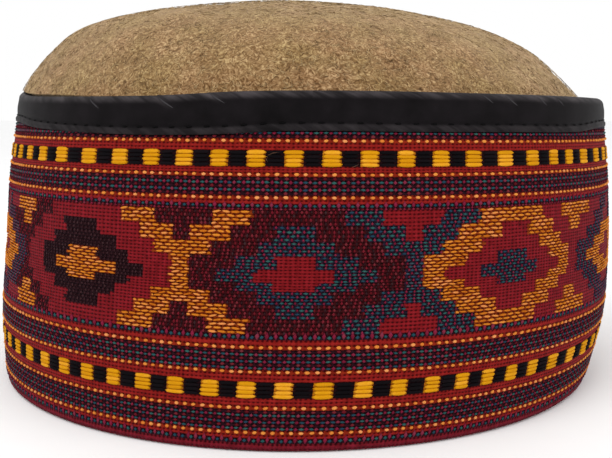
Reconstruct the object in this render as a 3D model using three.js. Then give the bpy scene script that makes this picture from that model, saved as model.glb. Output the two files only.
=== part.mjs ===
// A round skull cap: a puffed felt crown inside a woven upright band, whose free top edge is bound with tape.
// The cap stands on its folded hem. Origin: the middle of the base, on the plane that it rests on.
// +Z is up, -Y is the front and +X the cap's right as seen from the front. Millimetres.
import * as THREE from "three";

// Driving dimensions of the band
const BASE_RADIUS = 97.5; // half of the band's width at its hem
const RIM_HEIGHT = 89.6; // mean height of the bound edge at the front and back
const RIM_SIDE_DROP = 2; // how much lower that edge is at both sides
const RIM_LEAN = 0.64; // how far the left side is raised, and the right side lowered
const BAND_WALL = 2.3;
const HEM_RADIUS = 1.8; // rounding of the folded hem's outer corner
const LIP_THICKNESS = 2; // the hem's turned-in lip, on which the crown's skirt stands

// Driving dimensions of the tape
const TAPE_HEIGHT = 10.1; // outer leg
const TAPE_INNER_HEIGHT = 8; // inner leg
const TAPE_WALL = 1;
const TAPE_PROUD = 0.2; // how far the tape's outer face stands out from the band's

// Driving dimensions of the crown
const CROWN_WALL = 2.5;
const DOME_RISE = 32.1; // from the dome's base line to its highest point
const DOME_SINK = 1.6; // how far the dome's base line lies below the rim
const DOME_SIDE_SETBACK = 3; // from the band's outside to the dome's, at the sides of the rim
const DOME_FRONT_SETBACK = 6.8; // the same at the front and back
const SKIRT_EASE = 1.5; // how far below the tape the skirt takes the dome's own outline

const GAP = 0.3; // clearance between the band and its tape, and under the crown's foot
const CROWN_EASE = 0.55; // clearance between the crown and what it goes down into
const SEGMENTS = 64; // facets round the cap

// Plan of the band at some heights: heights as shares of the rim's, the rest as shares of BASE_RADIUS
const BAND_SECTIONS = [
  { height: 0, width: 1, depth: 1.016, shift: -0.033 },
  { height: 0.25, width: 1.03, depth: 1.009, shift: -0.009 },
  { height: 0.5, width: 1.0215, depth: 1.01, shift: 0.005 },
  { height: 0.75, width: 1.0057, depth: 1.0037, shift: 0.01 },
  { height: 1, width: 0.9727, depth: 0.9884, shift: 0.0167 },
];

// The slow waves of the bound edge and of the tape's lower edge: angles in degrees from the front towards +X,
// rises as shares of TAPE_HEIGHT
const RIM_WAVE = [
  { angle: -180, rise: 0.05 },
  { angle: -135, rise: 0.15 },
  { angle: -90, rise: 0.3 },
  { angle: -74, rise: 0.17 },
  { angle: -62, rise: 0.035 },
  { angle: -42, rise: -0.05 },
  { angle: -24, rise: -0.07 },
  { angle: -11, rise: 0.01 },
  { angle: 5, rise: 0.035 },
  { angle: 27, rise: 0.04 },
  { angle: 60, rise: 0.08 },
  { angle: 90, rise: 0.1 },
  { angle: 180, rise: 0.05 },
];
const FOOT_WAVE = [
  { angle: -180, rise: 0.1 },
  { angle: -100, rise: 0.3 },
  { angle: -66, rise: 0.28 },
  { angle: -54, rise: 0.13 },
  { angle: -38, rise: 0.01 },
  { angle: -24, rise: -0.04 },
  { angle: -13, rise: -0.01 },
  { angle: -4, rise: 0.07 },
  { angle: 16, rise: 0.07 },
  { angle: 34, rise: 0.09 },
  { angle: 50, rise: 0.11 },
  { angle: 62, rise: 0.23 },
  { angle: 80, rise: 0.25 },
  { angle: 180, rise: 0.1 },
];

// The dome from its edge to its top: how far in as a share of its base, how high as a share of DOME_RISE,
// and how far it leans sideways as a share of BASE_RADIUS. The last row lies past the top and mirrors the row
// before it, so that the top is level.
const DOME_SECTIONS = [
  { inward: 0, rise: 0, shift: -0.022 },
  { inward: 0.05, rise: 0.191, shift: -0.035 },
  { inward: 0.14, rise: 0.451, shift: -0.049 },
  { inward: 0.26, rise: 0.661, shift: -0.078 },
  { inward: 0.42, rise: 0.802, shift: -0.098 },
  { inward: 0.62, rise: 0.903, shift: -0.089 },
  { inward: 1, rise: 1, shift: -0.089 },
  { inward: 1.38, rise: 0.903, shift: -0.089 },
];

// Rows of facets up each piece
const BAND_ROWS = 7;
const SKIRT_ROWS = 4;
const DOME_ROWS = 11;
const ROUND_STEPS = [30, 60]; // degrees, on the hem's corner
const TAPE_ROUND_STEPS = [30, 60, 90, 120, 150]; // degrees, over the tape's fold
const RIM_PASSAGE_STEPS = [0, 30, 60, 90]; // degrees, where the crown passes the tape's fold

const degrees = THREE.MathUtils.degToRad;
const mix = THREE.MathUtils.lerp;

// Slope of a table's column at row i, from the rows on both sides
function slopeAt(table, key, column, i) {
  const before = table[Math.max(i - 1, 0)];
  const after = table[Math.min(i + 1, table.length - 1)];
  return (after[column] - before[column]) / (after[key] - before[key]);
}

// Smooth value of a table's column where its key column has the given value
function smooth(table, key, column, at) {
  const inside = THREE.MathUtils.clamp(at, table[0][key], table[table.length - 1][key]);
  let i = 0;
  while (i < table.length - 2 && table[i + 1][key] < inside) i += 1;
  const step = table[i + 1][key] - table[i][key];
  const t = (inside - table[i][key]) / step;
  const startSlope = slopeAt(table, key, column, i) * step;
  const endSlope = slopeAt(table, key, column, i + 1) * step;
  return (
    table[i][column] * (1 + 2 * t) * (1 - t) ** 2 +
    startSlope * t * (1 - t) ** 2 +
    table[i + 1][column] * t * t * (3 - 2 * t) +
    endSlope * t * t * (t - 1)
  );
}

// Height of the rim without its wave: the height that the band's sections and pattern follow
function weaveHeight(angle) {
  return RIM_HEIGHT - RIM_LEAN * Math.sin(angle) - RIM_SIDE_DROP * Math.sin(angle) ** 2;
}

// Rise of a wave at an angle
function riseAt(wave, angle) {
  const turned = THREE.MathUtils.euclideanModulo(THREE.MathUtils.radToDeg(angle) + 180, 360) - 180;
  return TAPE_HEIGHT * smooth(wave, "angle", "rise", turned);
}

// Top and lower edge of the tape
const rimTop = (angle) => weaveHeight(angle) + riseAt(RIM_WAVE, angle);
const tapeFloor = (angle) => weaveHeight(angle) - TAPE_HEIGHT + riseAt(FOOT_WAVE, angle);

// Half width, half depth and sideways shift of the band's outside at a share of its height
function bandPlan(share) {
  const column = (name) => BASE_RADIUS * smooth(BAND_SECTIONS, "height", name, share);
  return { width: column("width"), depth: column("depth"), shift: column("shift") };
}

// The same for the dome
const rimPlan = bandPlan(1);
function domePlan(inward) {
  return {
    width: (rimPlan.width - DOME_SIDE_SETBACK) * (1 - inward),
    depth: (rimPlan.depth - DOME_FRONT_SETBACK) * (1 - inward),
    shift: BASE_RADIUS * smooth(DOME_SECTIONS, "inward", "shift", inward),
  };
}

// Point at an angle on a plan that is drawn in by an inset
function onPlan(plan, angle, z, inset = 0) {
  return new THREE.Vector3(
    plan.shift + (plan.width - inset) * Math.sin(angle),
    -(plan.depth - inset) * Math.cos(angle),
    z,
  );
}

// Point of the band at a height, measured inwards from its outside
function bandPoint(angle, z, inset) {
  return onPlan(bandPlan(z / weaveHeight(angle)), angle, z, inset);
}

// Point on the dome, and how far in the dome is at a height
const domeBase = RIM_HEIGHT - DOME_SINK;
function domePoint(angle, inward) {
  const z = domeBase + DOME_RISE * smooth(DOME_SECTIONS, "inward", "rise", inward);
  return onPlan(domePlan(inward), angle, z);
}
function domeInwardAt(z) {
  const rise = (z - domeBase) / DOME_RISE;
  let low = 0;
  let high = 1;
  for (let i = 0; i < 30; i += 1) {
    const middle = (low + high) / 2;
    if (smooth(DOME_SECTIONS, "inward", "rise", middle) < rise) low = middle;
    else high = middle;
  }
  return low;
}

// Draws a point in to the rim's plan with an inset, if it lies outside that
function heldInside(point, inset) {
  const x = (point.x - rimPlan.shift) / (rimPlan.width - inset);
  const y = point.y / (rimPlan.depth - inset);
  const over = Math.max(Math.hypot(x, y), 1);
  return new THREE.Vector3(rimPlan.shift + (point.x - rimPlan.shift) / over, point.y / over, point.z);
}

// Closed skin through one loop of points for each angle, all with as many points
function skin(loops) {
  const positions = [];
  const addFace = (a, b, c) => {
    const flat = a.distanceTo(b) < 1e-6 || b.distanceTo(c) < 1e-6 || c.distanceTo(a) < 1e-6;
    if (!flat) positions.push(...a, ...b, ...c);
  };
  loops.forEach((loop, i) => {
    const next = loops[(i + 1) % loops.length];
    loop.forEach((point, j) => {
      const k = (j + 1) % loop.length;
      addFace(point, next[j], next[k]);
      addFace(point, next[k], loop[k]);
    });
  });
  const geometry = new THREE.BufferGeometry();
  geometry.setAttribute("position", new THREE.Float32BufferAttribute(positions, 3));
  geometry.computeVertexNormals();
  return geometry;
}

const angles = Array.from({ length: SEGMENTS }, (_, i) => (2 * Math.PI * i) / SEGMENTS);
const shares = (count) => Array.from({ length: count + 1 }, (_, i) => i / count);

// Tape: an upside-down U over the band's top edge, flush inside and out with a round fold on top
const tapeThickness = TAPE_PROUD + BAND_WALL + GAP + TAPE_WALL;
const foldRadius = tapeThickness / 2;

function tapeLoop(angle) {
  const top = rimTop(angle);
  const spring = top - foldRadius; // where the round fold starts
  const low = tapeFloor(angle);
  const innerLow = top - TAPE_INNER_HEIGHT;
  const at = (z, depth) => bandPoint(angle, z, depth - TAPE_PROUD);
  const fold = TAPE_ROUND_STEPS.map(degrees).map((turn) =>
    at(spring + foldRadius * Math.sin(turn), foldRadius * (1 - Math.cos(turn))),
  );
  const ceiling = [foldRadius + GAP, foldRadius - GAP].map((depth) => at(top - TAPE_WALL, depth));
  return [
    at(low, 0),
    at((low + spring) / 2, 0),
    at(spring, 0),
    ...fold,
    at(spring, tapeThickness),
    at(innerLow, tapeThickness),
    at(innerLow, tapeThickness - TAPE_WALL),
    at(spring, tapeThickness - TAPE_WALL),
    ...ceiling,
    at(spring, TAPE_WALL),
    at((low + spring) / 2, TAPE_WALL),
    at(low, TAPE_WALL),
  ];
}

// Band: its wall, the thinner edge inside the tape, and the lip that turns in under the crown's skirt
const lipReach = BAND_WALL + CROWN_EASE + CROWN_WALL;
const lipRadius = LIP_THICKNESS / 2;

function bandLoop(angle) {
  const at = (z, inset) => bandPoint(angle, z, inset);
  const shoulder = tapeFloor(angle) - GAP;
  const edgeTop = rimTop(angle) - foldRadius;
  const edgeInset = TAPE_WALL + GAP - TAPE_PROUD;
  const hem = ROUND_STEPS.map(degrees).map((turn) =>
    at(HEM_RADIUS * (1 - Math.cos(turn)), HEM_RADIUS * (1 - Math.sin(turn))),
  );
  const outside = shares(BAND_ROWS).map((share) => at(mix(HEM_RADIUS, shoulder, share), 0));
  const inside = shares(BAND_ROWS - 2).map((share) => at(mix(edgeTop, LIP_THICKNESS, share), BAND_WALL));
  const lipEdge = [45, 90, 135].map(degrees).map((turn) =>
    at(lipRadius * (1 + Math.cos(turn)), lipReach + lipRadius * (Math.sin(turn) - 1)),
  );
  return [
    at(0, lipReach - lipRadius),
    at(0, HEM_RADIUS),
    ...hem,
    ...outside,
    at(shoulder, edgeInset),
    at(edgeTop, edgeInset),
    ...inside,
    at(LIP_THICKNESS, lipReach - lipRadius),
    ...lipEdge,
  ];
}

// Crown: outside from the skirt's foot past the tape and over the dome
const skirtFoot = LIP_THICKNESS + GAP;
const passageRadius = foldRadius + CROWN_EASE;

function skirtPoint(angle, share) {
  const top = rimTop(angle) - TAPE_INNER_HEIGHT - SKIRT_EASE;
  const z = mix(skirtFoot, top, share);
  const low = bandPoint(angle, z, BAND_WALL + CROWN_EASE);
  const high = heldInside(domePoint(angle, 0).setZ(z), tapeThickness - TAPE_PROUD + CROWN_EASE);
  return low.lerp(high, THREE.MathUtils.smoothstep(share, 0.4, 1));
}

function passagePoint(angle, turn) {
  const z = rimTop(angle) - foldRadius + passageRadius * Math.sin(turn);
  const point = domePoint(angle, domeInwardAt(z)).setZ(z);
  return heldInside(point, foldRadius - TAPE_PROUD + passageRadius * Math.cos(turn));
}

function crownOutside(angle) {
  const start = domeInwardAt(rimTop(angle) + CROWN_EASE);
  return [
    ...shares(SKIRT_ROWS).map((share) => skirtPoint(angle, share)),
    ...RIM_PASSAGE_STEPS.map(degrees).map((turn) => passagePoint(angle, turn)),
    ...shares(DOME_ROWS).slice(1).map((share) => domePoint(angle, mix(start, 1, share ** 1.5))),
  ];
}

// Crown: the inside lies one wall in from the outside, and leaves out the rows close to the rim
function crownLoops() {
  const outside = angles.map(crownOutside);
  const last = outside[0].length - 1;
  const rimRows = SKIRT_ROWS + 1 + RIM_PASSAGE_STEPS.length;
  const rows = outside[0].map((_, j) => j);
  const innerRows = rows.filter((j) => j <= SKIRT_ROWS + 1 || j > rimRows).reverse();
  const innerPoint = (i, j) => {
    const count = outside.length;
    if (j === last) return outside[i][j].clone().setZ(outside[i][j].z - CROWN_WALL);
    const round = outside[(i + 1) % count][j].clone().sub(outside[(i + count - 1) % count][j]);
    const up = outside[i][j + 1].clone().sub(outside[i][Math.max(j - 1, 0)]);
    if (j === 0) up.set(0, 0, 1);
    return outside[i][j].clone().addScaledVector(round.cross(up).normalize(), -CROWN_WALL);
  };
  return outside.map((loop, i) => [...loop, ...innerRows.map((j) => innerPoint(i, j))]);
}

const cap = new THREE.Group();

function addPiece(name, loops, color, roughness) {
  const material = new THREE.MeshStandardMaterial({ color, roughness, metalness: 0 });
  const piece = new THREE.Mesh(skin(loops), material);
  piece.name = name;
  cap.add(piece);
}

addPiece("crown", crownLoops(), 0x8a7249, 0.95);
addPiece("band", angles.map(bandLoop), 0x7c1420, 0.9);
addPiece("binding", angles.map(tapeLoop), 0x1c1b1e, 0.55);

export default cap;
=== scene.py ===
# The finished skull cap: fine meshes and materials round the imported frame, a camera, a floor and soft light.
# Metres, +Z up, -Y the front, +X the cap's right as seen from the front. Angles go from the front towards +X.
import math

import bmesh
import bpy
import numpy as np
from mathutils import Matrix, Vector, noise


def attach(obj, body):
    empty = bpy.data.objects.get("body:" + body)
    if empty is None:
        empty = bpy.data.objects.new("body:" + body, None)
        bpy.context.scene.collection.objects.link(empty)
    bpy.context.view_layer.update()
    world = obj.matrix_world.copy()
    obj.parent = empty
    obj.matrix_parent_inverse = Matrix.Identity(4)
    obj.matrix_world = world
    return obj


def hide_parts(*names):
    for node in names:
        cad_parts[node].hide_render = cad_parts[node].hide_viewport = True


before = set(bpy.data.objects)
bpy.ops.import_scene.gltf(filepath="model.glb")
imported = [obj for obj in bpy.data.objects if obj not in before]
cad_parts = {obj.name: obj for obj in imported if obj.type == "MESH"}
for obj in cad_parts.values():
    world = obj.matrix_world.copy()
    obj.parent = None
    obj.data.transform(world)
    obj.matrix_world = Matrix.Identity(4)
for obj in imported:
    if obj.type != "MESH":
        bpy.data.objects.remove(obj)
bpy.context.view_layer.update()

MM = 0.001
SEED = 7
WEAVE_SEED = 8
TAPE_SEED = 9
CHART_SEED = 107

# Camera: the photograph's viewpoint, low and close in front of the cap
CAMERA_PLACE = (0, -327 * MM, 87.3 * MM)
CAMERA_PITCH = math.radians(7.66)  # downwards
FOCAL_PIXELS = 950
PHOTO_WIDTH_PIXELS = 612
SENSOR_WIDTH = 36.0  # millimetres, as Blender counts it

# Sizes of the band, as in the frame
BASE_RADIUS = 97.5 * MM
RIM_HEIGHT = 89.6 * MM
RIM_SIDE_DROP = 2 * MM
RIM_LEAN = 0.64 * MM
BAND_WALL = 2.3 * MM
HEM_RADIUS = 1.8 * MM
LIP_THICKNESS = 2 * MM

# Sizes of the tape, as in the frame
TAPE_HEIGHT = 10.1 * MM
TAPE_INNER_HEIGHT = 8 * MM
TAPE_WALL = 1 * MM
TAPE_PROUD = 0.2 * MM

# Sizes of the crown, as in the frame
CROWN_WALL = 2.5 * MM
DOME_RISE = 32.1 * MM
DOME_SINK = 1.6 * MM
DOME_SIDE_SETBACK = 3 * MM
DOME_FRONT_SETBACK = 6.8 * MM
SKIRT_EASE = 1.5 * MM
GAP = 0.3 * MM
CROWN_EASE = 0.55 * MM

# Plan of the band at some heights: heights as shares of the rim's, the rest as shares of BASE_RADIUS
BAND_SECTIONS = {
    "height": (0, 0.25, 0.5, 0.75, 1),
    "width": (1, 1.03, 1.0215, 1.0057, 0.9727),
    "depth": (1.016, 1.009, 1.01, 1.0037, 0.9884),
    "shift": (-0.033, -0.009, 0.005, 0.01, 0.0167),
}

# The slow waves of the bound edge and of the tape's lower edge: degrees from the front towards +X, rises as
# shares of TAPE_HEIGHT
RIM_WAVE = {
    "angle": (-180, -135, -90, -74, -62, -42, -24, -11, 5, 27, 60, 90, 180),
    "rise": (0.05, 0.15, 0.3, 0.17, 0.035, -0.05, -0.07, 0.01, 0.035, 0.04, 0.08, 0.1, 0.05),
}
FOOT_WAVE = {
    "angle": (-180, -100, -66, -54, -38, -24, -13, -4, 16, 34, 50, 62, 80, 180),
    "rise": (0.1, 0.3, 0.28, 0.13, 0.01, -0.04, -0.01, 0.07, 0.07, 0.09, 0.11, 0.23, 0.25, 0.1),
}

# The dome from its edge to its top: shares of its base, of DOME_RISE and of BASE_RADIUS
DOME_SECTIONS = {
    "inward": (0, 0.05, 0.14, 0.26, 0.42, 0.62, 1, 1.38),
    "rise": (0, 0.191, 0.451, 0.661, 0.802, 0.903, 1, 0.903),
    "shift": (-0.022, -0.035, -0.049, -0.078, -0.098, -0.089, -0.089, -0.089),
}

# The weave counts in dots, the spacing of the yellow points in its thin lines
DOTS_ROUND = 264
DOT_ANGLE = 360 / DOTS_ROUND
WEAVE_START = -2.4  # degrees, where dot 0 lies
DOT_PHASE = 0.3  # where the points of the lines lie between two whole dots
CHECK_PITCH = 4  # dots from one yellow check to the next
ROW_PITCH = 0.9 * MM

# How far the sewing pulled the cloth round, in degrees, near its top and near its hem
PULL_HIGH = {
    "angle": (-180, -66, -50, -43.6, -36.5, -30, -24, 25, 31, 37, 42, 47, 52, 59, 66, 180),
    "shift": (0, -3.7, -3.7, -3.1, -1.4, -0.3, 0, 0, 0.6, 1.1, 1.1, 0, 0, 1.3, 2, 0),
}
PULL_LOW = {
    "angle": (-180, -35, 0, 9, 19, 24, 30, 34, 40, 45, 51, 57, 180),
    "shift": (0, 0.3, 0, 0.7, 0.3, 0, -1, -1.5, -2.3, -2.3, -1.6, -1.1, 0),
}
PULL_LOW_TOP = 30 * MM
PULL_LOW_FULL = 20 * MM

# The band's stripes from the top down: kind, and millimetres to the top edge at the front
STRIPES = (
    ("net", 84.7), ("line", 78.4), ("plain", 77.3), ("checks", 75.5), ("plain", 71.6), ("line", 70.2),
    ("net", 69.1), ("line", 64.6), ("plain", 63.5), ("points", 62.5), ("edge", 61.5), ("figures", 61),
    ("points", 30), ("plain", 28.7), ("line", 27.4), ("net", 26.2), ("line", 21.1), ("plain", 20),
    ("checks", 18), ("plain", 13.9), ("line", 12), ("net", 10.8), ("line", 5.7), ("plain", 4.5),
    ("points", 3.6), ("hem", 2.4),
)
CHECK_ROWS = 4

# The stepped figures: nine steps, each with the height of its top edge, its rows of yarn, and its yarns from
# left to right with the dot where each one ends. One repeat runs from dot -48 to dot 48.
# y yellow, r crimson, b bright red, m crimson specks on black, k black, t teal, s teal at the outer diamonds
CHART_START = -48
CHART_REPEAT = 96
FIGURE_STEPS = (
    (61 * MM, 4, "r-44 s-43 r-38.5 y-32.5 m-29 r-19.5 y-15.1 m-8.5 y-4.2 m5.4 t9.6 b16.2 t20.7 y29.8"
     " r33.4 y41 r45 s48"),
    (57.2 * MM, 4, "r-45 s-40.5 m-36.3 y-33.8 m-31 r-26.7 k-22.4 r-17.2 y-12.9 m-11 y-6.5 m-1.7 t2.5 m7.8 t12"
     " b14 t18.2 y23.5 r27.2 y31.5 r35.8 y38.3 r42.8 s46.5 r48"),
    (53.2 * MM, 4, "y-42 s-38.3 m-33 r-28.3 k-20.1 r-15.3 y-8.6 m-3.5 t4.6 m9.7 t16.3 y21.1 r28.9 y33.3"
     " r40.6 s45 y48"),
    (49.7 * MM, 4, "r-45.5 y-40 s-35.7 m-34.4 r-30.3 k-26.3 y-22.3 k-18.3 r-13.2 y-11 m-6 t-1.7 b2.6 t7 m12.2"
     " s14.1 y19.2 r23.2 t26.9 r30.8 y35.4 r37.7 s42.6 y47 r48"),
    (46.4 * MM, 4, "r-43.3 y-38.2 s-35.3 m-34.4 r-30.5 k-28 y-20 k-16.5 r-13.2 y-11 m-8 t-3.8 b4.6 t9 m12.2"
     " s14.1 y16.8 r21.2 t28.5 r32.8 y35.4 r38 s40.5 y44.7 r48"),
    (43.1 * MM, 3, "r-45.5 y-40 s-35.7 m-34.4 r-30.3 k-26.2 y-22.3 k-18.3 r-13.2 y-11 m-5.8 t-1.8 b2.6 t6.9"
     " m12.2 s14.1 y19.1 r23.2 t26.7 r30.6 y35.2 r37.7 s42.4 y47 r48"),
    (40.9 * MM, 4, "y-41 s-37 m-33 r-28.2 k-20.2 r-15.4 y-8.6 m-3.5 t4.4 m9.6 t16.2 y21 r28.6 y33 r39.9"
     " s44 y48"),
    (37.6 * MM, 4, "r-44.5 s-38.3 m-36 y-33.3 m-31 r-26.2 k-22.1 r-17.3 y-13 m-11.1 y-6.6 m-1.4 t2.5 m7.7"
     " t12.2 b14 t18.2 y23 r26.5 y30.8 r34.6 y37.4 r41.4 s46 r48"),
    (34 * MM, 4, "s-43 r-37.2 y-31.8 m-28.8 r-19.4 y-15.1 m-8.8 y-4.3 m5.5 t9.7 b16 t20.4 y28.7 r32.7 y40"
     " r43.5 s48"),
)


def srgb(red, green, blue):
    """Linear colour of display values from 0 to 255."""
    shares = (value / 255 for value in (red, green, blue))
    return tuple(s / 12.92 if s <= 0.04045 else ((s + 0.055) / 1.055) ** 2.4 for s in shares)


# Colours of the cloth that shows between the yarns
GROUND_COLORS = {
    "crimson": srgb(110, 17, 21),
    "stripe": srgb(120, 22, 17),
    "hem": srgb(100, 18, 26),
    "bright": srgb(112, 17, 20),
    "black": srgb(30, 8, 10),
    "maroon": srgb(52, 10, 12),
    "navy": srgb(30, 22, 34),
    "net": srgb(34, 10, 16),
    "line": srgb(116, 28, 10),
    "under_yellow": srgb(118, 42, 8),
    "check": srgb(158, 88, 8),
}
CHART_GROUNDS = {
    "y": "under_yellow",
    "r": "crimson",
    "b": "bright",
    "m": "maroon",
    "k": "black",
    "t": "navy",
    "s": "navy",
}


# Camera

def add_camera():
    data = bpy.data.cameras.new("camera")
    data.sensor_width = SENSOR_WIDTH
    data.lens = FOCAL_PIXELS / PHOTO_WIDTH_PIXELS * SENSOR_WIDTH
    data.clip_start = 1 * MM
    camera = bpy.data.objects.new("camera", data)
    camera.location = CAMERA_PLACE
    camera.rotation_euler = (math.pi / 2 - CAMERA_PITCH, 0, 0)
    bpy.context.scene.collection.objects.link(camera)
    bpy.context.scene.camera = camera


add_camera()


# Shapes of the cap, for arrays of angles and heights

def smooth(table, key, column, at):
    """Smooth value of a table's column where its key column has the given values."""
    keys = np.array(table[key], float)
    values = np.array(table[column], float)
    last = len(keys) - 1
    before = np.maximum(np.arange(last + 1) - 1, 0)
    after = np.minimum(np.arange(last + 1) + 1, last)
    slopes = (values[after] - values[before]) / (keys[after] - keys[before])
    inside = np.clip(at, keys[0], keys[-1])
    i = np.minimum(np.searchsorted(keys[1:], inside, side="left"), last - 1)
    step = keys[i + 1] - keys[i]
    t = (inside - keys[i]) / step
    return (
        values[i] * (1 + 2 * t) * (1 - t) ** 2
        + slopes[i] * step * t * (1 - t) ** 2
        + values[i + 1] * t * t * (3 - 2 * t)
        + slopes[i + 1] * step * t * t * (t - 1)
    )


def smoothstep(value, low, high):
    t = np.clip((value - low) / (high - low), 0, 1)
    return t * t * (3 - 2 * t)


def weave_height(angle):
    """Height of the rim without its wave, which the band's sections and pattern follow."""
    return RIM_HEIGHT - RIM_LEAN * np.sin(angle) - RIM_SIDE_DROP * np.sin(angle) ** 2


def rise_at(wave, angle):
    turned = (np.degrees(angle) + 180) % 360 - 180
    return TAPE_HEIGHT * smooth(wave, "angle", "rise", turned)


def rim_top(angle):
    return weave_height(angle) + rise_at(RIM_WAVE, angle)


def tape_floor(angle):
    return weave_height(angle) - TAPE_HEIGHT + rise_at(FOOT_WAVE, angle)


def band_plan(share):
    """Half width, half depth and sideways shift of the band's outside at a share of its height."""
    columns = ("width", "depth", "shift")
    return tuple(BASE_RADIUS * smooth(BAND_SECTIONS, "height", column, share) for column in columns)


RIM_PLAN = band_plan(1.0)


def dome_plan(inward):
    shift = BASE_RADIUS * smooth(DOME_SECTIONS, "inward", "shift", inward)
    width = (RIM_PLAN[0] - DOME_SIDE_SETBACK) * (1 - inward)
    depth = (RIM_PLAN[1] - DOME_FRONT_SETBACK) * (1 - inward)
    return width, depth, shift


def on_plan(plan, angle, z, inset=0.0):
    """Point at an angle on a plan that is drawn in by an inset."""
    width, depth, shift = plan
    x = shift + (width - inset) * np.sin(angle)
    y = -(depth - inset) * np.cos(angle)
    return np.stack(np.broadcast_arrays(x, y, z), axis=-1)


def band_point(angle, z, inset=0.0):
    """Point of the band at a height, measured inwards from its outside."""
    return on_plan(band_plan(z / weave_height(angle)), angle, z, inset)


DOME_BASE = RIM_HEIGHT - DOME_SINK
DOME_INWARDS = np.linspace(0, 1, 2001)
DOME_RISES = smooth(DOME_SECTIONS, "inward", "rise", DOME_INWARDS)


def dome_point(angle, inward):
    z = DOME_BASE + DOME_RISE * smooth(DOME_SECTIONS, "inward", "rise", inward)
    return on_plan(dome_plan(inward), angle, z)


def dome_inward_at(z):
    return np.interp((z - DOME_BASE) / DOME_RISE, DOME_RISES, DOME_INWARDS)


def held_inside(point, inset):
    """Draws points in to the rim's plan with an inset, where they lie outside that."""
    width, depth, shift = RIM_PLAN
    x = (point[..., 0] - shift) / (width - inset)
    y = point[..., 1] / (depth - inset)
    over = np.maximum(np.hypot(x, y), 1)
    return np.stack([shift + (point[..., 0] - shift) / over, point[..., 1] / over, point[..., 2]], axis=-1)


def at_height(point, z):
    return np.stack(np.broadcast_arrays(point[..., 0], point[..., 1], z), axis=-1)


# Meshes

def add_mesh(name, points, faces, smooth_faces=True):
    mesh = bpy.data.meshes.new(name)
    mesh.from_pydata(np.asarray(points).reshape(-1, 3).tolist(), [], np.asarray(faces).tolist())
    mesh.polygons.foreach_set("use_smooth", [smooth_faces] * len(mesh.polygons))
    piece = bpy.data.objects.new(name, mesh)
    bpy.context.scene.collection.objects.link(piece)
    return piece


def ring_faces(columns, rows):
    """Quads between neighbouring columns of points, all round, with each column closed on itself."""
    i = np.arange(columns)[:, None]
    j = np.arange(rows)[None, :]
    next_i = (i + 1) % columns
    next_j = (j + 1) % rows
    corners = np.broadcast_arrays(i * rows + j, next_i * rows + j, next_i * rows + next_j, i * rows + next_j)
    return np.stack(corners, axis=-1).reshape(-1, 4)


def run_along(loop, closing):
    """Distances along the first column of a ring mesh, and on by the step that closes it."""
    steps = np.linalg.norm(np.diff(loop[0], axis=0), axis=1)
    return np.concatenate([[0], np.cumsum([*steps, closing])])


def set_weave_places(piece, across, along):
    """UV map of a ring mesh, from the places of its columns and rows, with one more of each to close it."""
    i, j = np.meshgrid(np.arange(len(across) - 1), np.arange(len(along) - 1), indexing="ij")
    corners = [(i, j), (i + 1, j), (i + 1, j + 1), (i, j + 1)]
    places = np.stack([np.stack([across[a], along[b]], axis=-1) for a, b in corners], axis=2)
    layer = piece.data.uv_layers.new(name="weave")
    layer.data.foreach_set("uv", places.astype(np.float32).ravel())


def set_values(piece, name, values):
    """A number for each point of a piece, which its material reads."""
    attribute = piece.data.attributes.new(name, "FLOAT", "POINT")
    attribute.data.foreach_set("value", values.ravel().astype(np.float32))


def vertex_normals(piece):
    normals = np.empty(len(piece.data.vertices) * 3)
    piece.data.vertex_normals.foreach_get("vector", normals)
    return normals.reshape(-1, 3)


def vertex_places(piece):
    places = np.empty(len(piece.data.vertices) * 3)
    piece.data.vertices.foreach_get("co", places)
    return places.reshape(-1, 3)


def push_out(piece, distances):
    places = vertex_places(piece) + vertex_normals(piece) * distances[:, None]
    piece.data.vertices.foreach_set("co", places.ravel())
    piece.data.update()


WELD_DISTANCE = 0.0001 * MM


def weld(piece):
    """Joins points that lie in one place, as at the crown's top."""
    shape = bmesh.new()
    shape.from_mesh(piece.data)
    bmesh.ops.remove_doubles(shape, verts=shape.verts, dist=WELD_DISTANCE)
    bmesh.ops.dissolve_degenerate(shape, edges=shape.edges, dist=WELD_DISTANCE)
    shape.to_mesh(piece.data)
    shape.free()


def finish_piece(piece, material, slot, *replaced):
    piece.data.materials.append(material)
    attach(piece, "root")
    if replaced:
        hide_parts(*replaced)


# Materials

def new_material(name, roughness, specular, sheen=0.0, sheen_color=(255, 255, 255)):
    material = bpy.data.materials.new(name)
    material.use_nodes = True
    shader = material.node_tree.nodes["Principled BSDF"]
    shader.inputs["Roughness"].default_value = roughness
    shader.inputs["Specular IOR Level"].default_value = specular
    shader.inputs["Sheen Weight"].default_value = sheen
    shader.inputs["Sheen Tint"].default_value = (*srgb(*sheen_color), 1)
    return material, material.node_tree, shader


def add_node(tree, kind, settings=None, **inputs):
    """Adds a node. An input is a socket or a value; its name has _ for a blank, or is i and a number."""
    node = tree.nodes.new(kind)
    for name, value in (settings or {}).items():
        setattr(node, name, value)
    for name, value in inputs.items():
        is_number = name[0] == "i" and name[1:].isdigit()
        socket = node.inputs[int(name[1:]) if is_number else name.replace("_", " ")]
        if isinstance(value, bpy.types.NodeSocket):
            tree.links.new(value, socket)
        else:
            socket.default_value = value
    return node


def object_place(tree):
    return add_node(tree, "ShaderNodeTexCoord").outputs["Object"]


def weave_place(tree):
    """Place in the UV map of the weave: dots and rows on the band, millimetres on the tape."""
    return add_node(tree, "ShaderNodeUVMap", {"uv_map": "weave"}).outputs["UV"]


def read_attribute(tree, name, output="Fac"):
    return add_node(tree, "ShaderNodeAttribute", {"attribute_name": name}).outputs[output]


def add_math(tree, operation, first, second=0.0):
    return add_node(tree, "ShaderNodeMath", {"operation": operation}, i0=first, i1=second).outputs[0]


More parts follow.
